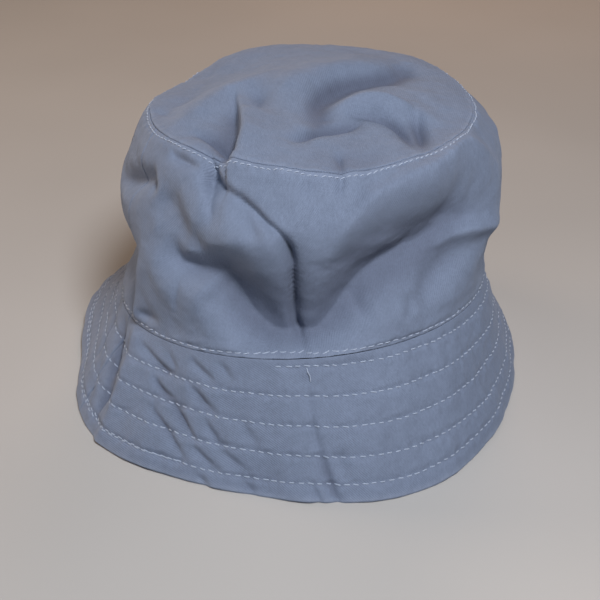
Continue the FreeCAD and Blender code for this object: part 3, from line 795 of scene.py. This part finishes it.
def brim_piece(node, span, upper, angle_step, row_step, fabric):
    """Top or under cloth of the brim, rounded over the edge to meet the other one."""
    angles = panel_angles(span, angle_step)
    length = brim_length(angles)
    half = BRIM_DEPTH / 2
    start, edge = base_point(angles), brim_edge_point(angles)
    sine = (start[:, 2] - edge[:, 2]) / length
    end = length - half * (1 + np.sqrt(1 - sine ** 2)) / sine
    count = int(round((length.mean() - BRIM_ROWS_END) / row_step))
    steps = np.arange(count + 1) / count
    shares = []
    for full, last in zip(length, end):
        even = BRIM_START + BRIM_ROWS_END + steps * (last - BRIM_START - BRIM_ROWS_END)
        shares.append(np.concatenate([BRIM_START + BRIM_ROWS, even]) / full)
    shares = np.array(shares)
    spot, direction, relief = brim_skin(angle_grid(angles, shares), shares)
    depths = (0, TWILL) if upper else (BRIM_DEPTH, UNDER_DEPTH)
    slope = unit(edge - start)
    middle = spot[:, -1] + direction[:, -1] * (relief[:, -1] - half)[:, None]
    sign = 1 if upper else -1
    grids = []
    for depth, radius in zip(depths, (half, half - TWILL)):
        flat = spot + direction * (relief - depth)[..., None]
        turns = []
        for turn in np.radians(np.linspace(0, 90, EDGE_TURNS)[1:]):
            around = sign * direction[:, -1] * math.cos(turn) + slope * math.sin(turn)
            turns.append(middle + radius * around)
        grids.append(np.concatenate([flat, np.stack(turns, axis=1)], axis=1))
    extra = np.repeat(shares[:, -1:], EDGE_TURNS - 1, axis=1)
    extra = extra + np.linspace(*EDGE_CLOTH, EDGE_TURNS - 1) / length[:, None]
    shares = np.concatenate([shares, extra], axis=1)
    angle = angle_grid(angles, shares)
    cloth = brim_flat_pattern(angle, shares)
    from_edge = (1 - shares) * length[:, None]
    wear_and_painted_shade = rubbed(from_edge, *EDGE_WEAR) + rubbed(seam_distance(angle, BASE_HALF[0]), *BRIM_PANEL_WEAR)
    relief = np.concatenate([relief, np.repeat(relief[:, -1:], EDGE_TURNS - 1, axis=1)], axis=1)
    # painted shade: the brim is darker where its folds have sunk
    wear_and_painted_shade -= painted_fold_shade(relief, *BRIM_PAINTED_SHADE)
    cloth_piece(node, *grids, cloth, relief, wear_and_painted_shade, fabric)


# The stiffener's distance from the crown seam, and how much narrower than the brim it is
STIFFENER_START = 1
STIFFENER_SHORTER = 6


def interlining_piece(node, span, angle_step, rows, fabric):
    angles = panel_angles(span, angle_step)
    length = brim_length(angles)[:, None]
    shares = (STIFFENER_START + np.linspace(0, 1, rows) * (length - STIFFENER_SHORTER)) / length
    angle = angle_grid(angles, shares)
    cloth = brim_flat_pattern(angle, shares)
    wear_and_painted_shade = np.zeros_like(angle)
    layer_piece(node, brim_skin(angle, shares), STIFFENER_DEPTH, STIFFENER, cloth, wear_and_painted_shade, fabric)


# ---- Topstitching ----
# Every stitch is a short twisted thread that dives into the cloth at both ends.
STITCH_SIDES = 8
# Along a stitch: height over the cloth in mm, and girth as a share of THREAD_RADIUS
STITCH_ARCH = np.array([-0.55, -0.12, 0.12, 0.22, 0.25, 0.22, 0.12, -0.12, -0.55])
STITCH_GIRTH = np.array([0.55, 0.9, 1, 1.04, 1.05, 1.04, 1, 0.9, 0.55])
STITCH_RUN = np.linspace(0, 1, len(STITCH_ARCH))
STITCH_SIDEWAYS = np.linspace(-1, 1, len(STITCH_ARCH))
THREAD_RADIUS = 0.28
THREAD_FLATNESS = 0.8
PLY_BULGE = 0.13
STITCH_TWIST = 1.1
# Unevenness of the sewing: place along the row, length, height, slant of every stitch and its spread.
# A row's drift is two waves: height in mm, and how often round the hat.
STRAY = 0.07
LENGTHS = (0.86, 1.1)
HEIGHTS = (0.85, 1.15)
THREAD_LEAN = 0.16
LEAN_SPREAD = 0.22
DRIFT = ((0.25, 9), (0.15, 23))
ROW_STEP = 0.25
# A cut thread end
TAIL_STEPS = 4
TAIL_RADII = (0.24, 0.12)
TAIL_TWIST = 0.9


def thread_tubes(centres, ups, radii, twist):
    """Points and faces of many short tubes. centres and ups are (tube, ring, xyz)."""
    tubes, rings = centres.shape[:2]
    along = unit(np.gradient(centres, axis=1))
    side = unit(np.cross(along, ups))
    up = np.cross(side, along)
    turn = np.linspace(0, 2 * np.pi, STITCH_SIDES, endpoint=False)
    lie = twist * np.arange(rings)[:, None]
    plies = 1 + PLY_BULGE * np.cos(2 * (turn - lie))
    reach = radii[:, None] * plies
    ring = (side[:, :, None, :] * (reach * np.cos(turn))[..., None]
            + up[:, :, None, :] * (THREAD_FLATNESS * reach * np.sin(turn))[..., None])
    points = (centres[:, :, None, :] + ring).reshape(-1, 3)
    index = np.arange(tubes * rings * STITCH_SIDES).reshape(tubes, rings, STITCH_SIDES)
    index = np.concatenate([index, index[:, :, :1]], axis=2)
    corners = [index[:, :-1, :-1], index[:, :-1, 1:], index[:, 1:, 1:], index[:, 1:, :-1]]
    faces = [np.stack([corner.ravel() for corner in corners], axis=1)]
    for end, order in ((0, 1), (-1, -1)):
        cap = index[:, end, :-1][:, ::order]
        for i in range(0, STITCH_SIDES - 2, 2):
            faces.append(np.stack([cap[:, 0], cap[:, i + 3], cap[:, i + 2], cap[:, i + 1]], axis=1))
    return points, np.vstack(faces)


def row_places(skin, angle_at, share_at, pitch, dash, seed):
    """Angles of the points along each stitch, evenly spaced along the row's length, and the dice."""
    angles = np.arange(*angle_at, ROW_STEP)
    spot, direction, relief = skin(angles, share_at(angles))
    path = spot + direction * relief[:, None]
    run = np.concatenate([[0], np.cumsum(np.linalg.norm(np.diff(path, axis=0), axis=1))])
    dice = np.random.RandomState(seed)
    count = int(run[-1] / pitch)
    starts = pitch * (np.arange(count) + dice.uniform(-STRAY, STRAY, count))
    lengths = dash * dice.uniform(*LENGTHS, count)
    along = starts[:, None] + lengths[:, None] * STITCH_RUN
    return np.interp(np.clip(along, 0, run[-1]), run, angles), dice


def drift(angle, seed):
    """How far in mm a row strays from its line."""
    (slow, slow_turns), (fast, fast_turns) = DRIFT
    turn = np.radians(angle)
    return slow * np.sin(turn * slow_turns + seed) + fast * np.sin(turn * fast_turns)


def loose_tail(skin, tail):
    """A cut thread end that curls over the cloth: places, and height over the cloth in mm."""
    line = smooth_line(tail, TAIL_STEPS)
    spot, direction, relief = skin(line[:, 0], line[:, 1])
    centres = spot + direction * (relief + line[:, 2])[:, None]
    radii = np.full(len(line), TAIL_RADII[0])
    radii[-1] = TAIL_RADII[1]
    return thread_tubes(centres[None], direction[None], radii, TAIL_TWIST)


def stitch_row(node, surface, angle_at, share_at, pitch, dash, seed, depth=0, side=1, tails=()):
    """A row of lockstitches on one face of the cloth. side is 1 outside and -1 inside."""
    skin, across = surface
    angle, dice = row_places(skin, angle_at, share_at, pitch, dash, seed)
    lean = dice.uniform(-LEAN_SPREAD, LEAN_SPREAD, (len(angle), 1)) * STITCH_SIDEWAYS
    sideways = lean + drift(angle, seed) + THREAD_LEAN * STITCH_SIDEWAYS
    spot, direction, relief = skin(angle, share_at(angle) + sideways / across(angle))
    height = side * STITCH_ARCH * dice.uniform(*HEIGHTS, (len(angle), 1))
    centres = spot + direction * (relief - depth + height)[..., None]
    points, faces = thread_tubes(centres, direction * side, THREAD_RADIUS * STITCH_GIRTH, STITCH_TWIST)
    for tail in tails:
        more_points, more_faces = loose_tail(skin, tail)
        faces = np.vstack([faces, more_faces + len(points)])
        points = np.vstack([points, more_points])
    finished_piece(node + "_row", points, faces, points * MM, np.zeros(len(points)), node, SEWING)


# ---- Materials ----
# A wave texture of scale 1 repeats after this length.
WAVE_PERIOD = math.pi / 10


class Recipe:
    """A material's node tree, with short ways to add nodes."""

    def __init__(self, name, roughness, sheen, sheen_tint):
        self.material = bpy.data.materials.new(name)
        self.material.use_nodes = True
        self.nodes = self.material.node_tree.nodes
        self.links = self.material.node_tree.links
        self.shader = self.nodes["Principled BSDF"]
        self.shader.inputs["Roughness"].default_value = roughness
        self.shader.inputs["Sheen Weight"].default_value = sheen
        self.shader.inputs["Sheen Roughness"].default_value = 0.45
        self.shader.inputs["Sheen Tint"].default_value = (*sheen_tint, 1)
        self.shader.inputs["Specular IOR Level"].default_value = 0.22

    def node(self, kind, output, inputs, **settings):
        """Adds a node. Its inputs are numbers, colours, vectors or other nodes' outputs."""
        node = self.nodes.new("ShaderNode" + kind)
        for name, value in settings.items():
            setattr(node, name, value)
        for key, value in inputs.items():
            if isinstance(value, bpy.types.NodeSocket):
                self.links.new(value, node.inputs[key])
            elif node.inputs[key].type == "RGBA":
                node.inputs[key].default_value = (*value, 1)
            else:
                node.inputs[key].default_value = value
        return node.outputs[output]

    def attribute(self, name, output):
        return self.node("Attribute", output, {}, attribute_name=name)

    def noise(self, vector, size, detail=2, roughness=0.5):
        inputs = {"Vector": vector, "Scale": 1 / size, "Detail": detail, "Roughness": roughness}
        return self.node("TexNoise", "Fac", inputs)

    def mapped(self, vector, scale=(1, 1, 1), turn=0):
        inputs = {"Vector": vector, "Scale": scale, "Rotation": (0, 0, turn)}
        return self.node("Mapping", "Vector", inputs)

    def ribs(self, vector, pitch, wobble):
        inputs = {"Vector": vector, "Scale": WAVE_PERIOD / pitch, "Distortion": wobble, "Detail": 1,
                  "Detail Scale": 0.4}
        return self.node("TexWave", "Fac", inputs, wave_type="BANDS", bands_direction="X")

    def math(self, operation, first, second):
        return self.node("Math", 0, {0: first, 1: second}, operation=operation)

    def summed(self, values, shares):
        """Sum of values, each times its share."""
        parts = [self.math("MULTIPLY", value, share) for value, share in zip(values, shares)]
        while len(parts) > 1:
            parts[:2] = [self.math("ADD", parts[0], parts[1])]
        return parts[0]

    def mix(self, share, first, second):
        return self.node("Mix", 2, {0: share, 6: first, 7: second}, data_type="RGBA")

    def bump(self, height, distance, strength, **below):
        inputs = {"Height": height, "Distance": distance, "Strength": strength, **below}
        return self.node("Bump", "Normal", inputs)

    def ramp(self, value, stops):
        node = self.nodes.new("ShaderNodeValToRGB")
        elements = node.color_ramp.elements
        while len(elements) < len(stops):
            elements.new(0.5)
        for element, (place, colour) in zip(elements, stops):
            element.position = place
            element.color = (*colour, 1)
        self.links.new(value, node.inputs["Fac"])
        return node.outputs["Color"]

    def finish(self, colour, normal):
        self.links.new(colour, self.shader.inputs["Base Color"])
        self.links.new(normal, self.shader.inputs["Normal"])
        return self.material


def shaded(colour, factor):
    return tuple(channel * factor for channel in colour)


# Noises of the cloth: size in metres, detail, roughness
SLUBS = (0.001, 2, 0.6)
SPECKS = (0.0007, 1, 0.5)
MOTTLE = (0.006, 3, 0.6)
PATCHES = (0.035, 2, 0.5)
SLUB_STRETCH = (1, 0.45, 1)
# Shares of slubs, specks, mottle and patches in the tone, and of ribs, weft and slubs in the height
TONE_SHARES = (0.34, 0.22, 0.24, 0.2)
HEIGHT_SHARES = (0.6, 0.25, 0.5)
BIAS = math.radians(38)
RIB_WOBBLE = 1.2
WEFT_WOBBLE = 0.8
WEFT_PITCH = 0.6
RIB_SHADE = 0.72
RIB_SHARE = 0.1
WORN_SHARE = 0.75
# share of the painted shade colour in sunken folds
PAINTED_SHADE_SHARE = -0.38
# Bumps: height in metres, strength
MOTTLE_BUMP = (0.001, 0.35)
WEAVE_BUMP = (0.00035, 0.5)


def woven(name, colour, pitch, contrast, roughness, sheen, twilled=True):
    """Woven cloth: fine ribs on the bias (twill) or straight (plain weave), slubs along the warp and
    mottling from the dye. A twill is paler where the mesh's attribute says that it is rubbed (over 0),
    and darker with painted shade where a fold has sunk (under 0)."""
    recipe = Recipe(name, roughness, sheen, CLOTH_SHEEN)
    cloth = recipe.attribute("cloth", "Vector")
    ribs = recipe.ribs(recipe.mapped(cloth, turn=BIAS if twilled else 0), pitch, RIB_WOBBLE)
    weft = recipe.ribs(recipe.mapped(cloth, turn=math.radians(90)), WEFT_PITCH * pitch, WEFT_WOBBLE)
    slubs = recipe.noise(recipe.mapped(cloth, SLUB_STRETCH), *SLUBS)
    specks, mottle, patches = [recipe.noise(cloth, *grain) for grain in (SPECKS, MOTTLE, PATCHES)]
    tone = recipe.summed((slubs, specks, mottle, patches), TONE_SHARES)
    stops = [(0.3, shaded(colour, 1 - contrast)), (0.5, colour), (0.7, shaded(colour, 1 + contrast))]
    base = recipe.ramp(tone, stops)
    base = recipe.mix(recipe.math("MULTIPLY", ribs, RIB_SHARE), base, shaded(colour, RIB_SHADE))
    if twilled:
        wear_and_painted_shade = recipe.attribute("wear_and_painted_shade", "Fac")
        rub = recipe.math("MAXIMUM", wear_and_painted_shade, 0)
        rub = recipe.math("MULTIPLY", rub, recipe.math("MULTIPLY", mottle, WORN_SHARE))
        base = recipe.mix(rub, base, TWILL_WORN)
        # painted shade: darker colour where the attribute is under 0, in sunken folds
        painted_shade = recipe.math("MULTIPLY", recipe.math("MINIMUM", wear_and_painted_shade, 0), PAINTED_SHADE_SHARE)
        base = recipe.mix(painted_shade, base, TWILL_PAINTED_SHADE)
    height = recipe.summed((ribs, weft, slubs), HEIGHT_SHARES)
    normal = recipe.bump(mottle, *MOTTLE_BUMP)
    normal = recipe.bump(height, *WEAVE_BUMP, Normal=normal)
    return recipe.finish(base, normal)


def spun(name, colour):
    """Sewing thread: two pale plies with a slight shine and loose fibres."""
    recipe = Recipe(name, 0.55, 0.3, THREAD_SHEEN)
    cloth = recipe.attribute("cloth", "Vector")
    fibres = recipe.noise(cloth, 0.0003, 2)
    dust = recipe.noise(cloth, 0.008, 2)
    base = recipe.ramp(fibres, [(0.3, shaded(colour, 0.78)), (0.6, colour), (0.8, shaded(colour, 1.08))])
    base = recipe.mix(recipe.math("MULTIPLY", dust, 0.35), base, shaded(colour, 0.7))
    return recipe.finish(base, recipe.bump(fibres, 0.0001, 0.6))


TWILL_COLOUR = (0.158, 0.194, 0.276)
TWILL_WORN = (0.27, 0.31, 0.41)
# colour of the painted shade in sunken folds
TWILL_PAINTED_SHADE = (0.05, 0.053, 0.085)
UNDER_COLOUR = (0.15, 0.184, 0.262)
LINING_COLOUR = (0.11, 0.135, 0.21)
SWEATBAND_COLOUR = (0.135, 0.165, 0.25)
STIFFENER_COLOUR = (0.62, 0.62, 0.6)
THREAD_COLOUR = (0.38, 0.44, 0.56)
CLOTH_SHEEN = (0.75, 0.82, 1)
THREAD_SHEEN = (0.9, 0.94, 1)

# Material slot and material. Cloth: pitch of the ribs in metres, contrast, roughness, sheen
TOP = ("twill", woven("blue_grey_twill", TWILL_COLOUR, 0.0009, 0.2, 0.82, 0.12))
UNDER = ("twill", woven("blue_grey_twill_under", UNDER_COLOUR, 0.0009, 0.18, 0.84, 0.1))
LINED = ("lining", woven("lining_plain_weave", LINING_COLOUR, 0.0005, 0.16, 0.75, 0.06, twilled=False))
BANDED = ("sweatband", woven("sweatband_twill", SWEATBAND_COLOUR, 0.0008, 0.18, 0.85, 0.08))
FELT = ("interlining", woven("interlining_felt", STIFFENER_COLOUR, 0.0012, 0.1, 0.95, 0, twilled=False))
SEWING = ("thread", spun("pale_sewing_thread", THREAD_COLOUR))

# ---- The hat ----
FRONT = (180, 360)
BACK = (0, 180)
WHOLE_TURN = (90, 450)
ROW_TURN = (90, 449)
QUILT_TURN = (QUILT_START_ANGLE, QUILT_LAST_ANGLE)
HALVES = (("front", FRONT), ("back", BACK))
BAND = (band_skin, band_length)
BRIM = (brim_skin, brim_length)
INSIDE_START = 0.3
LINING_DROP = LINING_DEPTH + LINING + PLY_GAP
SWEATBAND_DROP = float(band_length(np.array(90))) - SWEATBAND_WIDTH
LOOSE_END = [(246, 0.06, -0.3), (246.3, 0.09, 0.6), (246.9, 0.12, 0.9), (247, 0.16, 0.5)]

# The numbers at the end of a piece are the steps of its mesh.
tip_piece("crown_tip", 0, TWILL, 221, TOP)
tip_piece("lining_tip", LINING_DEPTH, LINING, 121, LINED)
for half, span in HALVES:
    band_piece("side_band_" + half, span, 0, TWILL, 0, 0, 0.5, 0.85, TOP)
    band_piece("lining_side_" + half, span, LINING_DEPTH, LINING, INSIDE_START, LINING_DROP, 1, 1.7, LINED)
    brim_piece("brim_top_" + half, span, True, 0.45, 0.8, TOP)
    brim_piece("brim_under_" + half, span, False, 0.6, 1.1, UNDER)
    interlining_piece("brim_interlining_" + half, span, 1, 56, FELT)
band_piece("sweatband", WHOLE_TURN, SWEATBAND_DEPTH, SWEATBAND, INSIDE_START, SWEATBAND_DROP, 0.8, 1,
           BANDED, ring=True)

# The numbers at the end of a row are its pitch and stitch length in mm, and its seed.
stitch_row("tip_stitch_thread", BAND, ROW_TURN, lambda a: 1 - TIP_ROW_DROP / band_length(a), 3.1, 2.5, 21)
stitch_row("crown_base_stitch_thread", BAND, ROW_TURN, lambda a: BASE_ROW_RISE / band_length(a), 4.3, 3.5, 22)
stitch_row("brim_needle_thread", BRIM, QUILT_TURN, quilt_share, 4.4, 3.3, 23, tails=[LOOSE_END])
stitch_row("brim_bobbin_thread", BRIM, QUILT_TURN, quilt_share, 4.4, 3.3, 24, BRIM_DEPTH, -1)
stitch_row("sweatband_stitch_thread", BAND, ROW_TURN,
           lambda a: (SWEATBAND_WIDTH - SWEATBAND_ROW_DROP) / band_length(a),
           3.6, 2.8, 25, SWEATBAND_DEPTH + SWEATBAND, -1)

# ---- Camera, floor and light ----
# The viewer stands in front of the hat, turned 25 degrees from its front.
VIEW_TURN = math.radians(-25)
VIEW_DISTANCE = 600
VIEW_ELEVATION = math.radians(30.4456)
VIEW_AIM = (-1.656, 0, 36.7)
VIEW_ROLL = 0.0066853
LENS = 67


def from_viewer(right, away, up):
    """Point in metres from one given in mm as the viewer sees it, measured from the hat's middle."""
    x = right * math.cos(VIEW_TURN) - away * math.sin(VIEW_TURN)
    y = right * math.sin(VIEW_TURN) + away * math.cos(VIEW_TURN)
    return Vector((x + SHIFT[0], y + SHIFT[1], up)) * MM


def add_camera():
    back = VIEW_DISTANCE * math.cos(VIEW_ELEVATION)
    up = VIEW_DISTANCE * math.sin(VIEW_ELEVATION)
    eye = from_viewer(VIEW_AIM[0], VIEW_AIM[1] - back, VIEW_AIM[2] + up)
    ahead = (from_viewer(*VIEW_AIM) - eye).normalized()
    level = ahead.cross(Vector((0, 0, 1))).normalized()
    right = (level * math.cos(VIEW_ROLL) + level.cross(ahead) * math.sin(VIEW_ROLL)).normalized()
    top = right.cross(ahead)
    camera = added("camera", bpy.data.cameras.new("camera"))
    camera.data.lens = LENS
    camera.data.sensor_width = 36
    camera.data.clip_start = 0.01
    turn = Matrix((right, top, -ahead)).transposed().to_4x4()
    camera.matrix_world = Matrix.Translation(eye) @ turn
    bpy.context.scene.camera = camera


LIGHT_AIM = (0, 0, 70)
FLOOR_HALF = 5
FLOOR_TONES = [(0.3, (0.4, 0.39, 0.38)), (0.7, (0.43, 0.42, 0.41))]


def add_light(name, place, size, power, colour):
    """Round light: place in mm as the viewer sees it, diameter in metres, power in watts."""
    lamp = bpy.data.lights.new(name, "AREA")
    lamp.shape = "DISK"
    lamp.size = size
    lamp.energy = power
    lamp.color = colour
    light = added(name, lamp)
    light.location = from_viewer(*place)
    aim = from_viewer(*LIGHT_AIM) - light.location
    light.rotation_euler = aim.to_track_quat("-Z", "Y").to_euler()


def add_floor():
    mesh = bpy.data.meshes.new("floor")
    corners = [(x * FLOOR_HALF, y * FLOOR_HALF, 0) for x, y in ((-1, -1), (1, -1), (1, 1), (-1, 1))]
    mesh.from_pydata(corners, [], [(0, 1, 2, 3)])
    recipe = Recipe("pale_floor", 0.9, 0, (1, 1, 1))
    place = recipe.nodes.new("ShaderNodeTexCoord").outputs["Object"]
    tone = recipe.ramp(recipe.noise(place, 0.25), FLOOR_TONES)
    grain = recipe.bump(recipe.noise(place, 0.002), 0.0002, 0.1)
    mesh.materials.append(recipe.finish(tone, grain))
    floor = added("floor", mesh)


def add_world():
    world = bpy.data.worlds.new("studio")
    world.use_nodes = True
    background = world.node_tree.nodes["Background"]
    background.inputs["Color"].default_value = (0.8, 0.86, 1, 1)
    background.inputs["Strength"].default_value = 0.02
    bpy.context.scene.world = world


add_camera()
add_floor()
add_world()
add_light("key", (165, -575, 808), 0.26, 10.1, (0.96, 0.97, 1))
add_light("fill", (-800, -700, 350), 0.8, 0.9, (0.8, 0.9, 1))
add_light("warm_side", (-1100, 350, 350), 0.5, 6.5, (1, 0.77, 0.58))
add_light("warm_back", (200, 1000, 700), 0.6, 4, (1, 0.68, 0.48))
bpy.context.scene.view_settings.view_transform = "Standard"
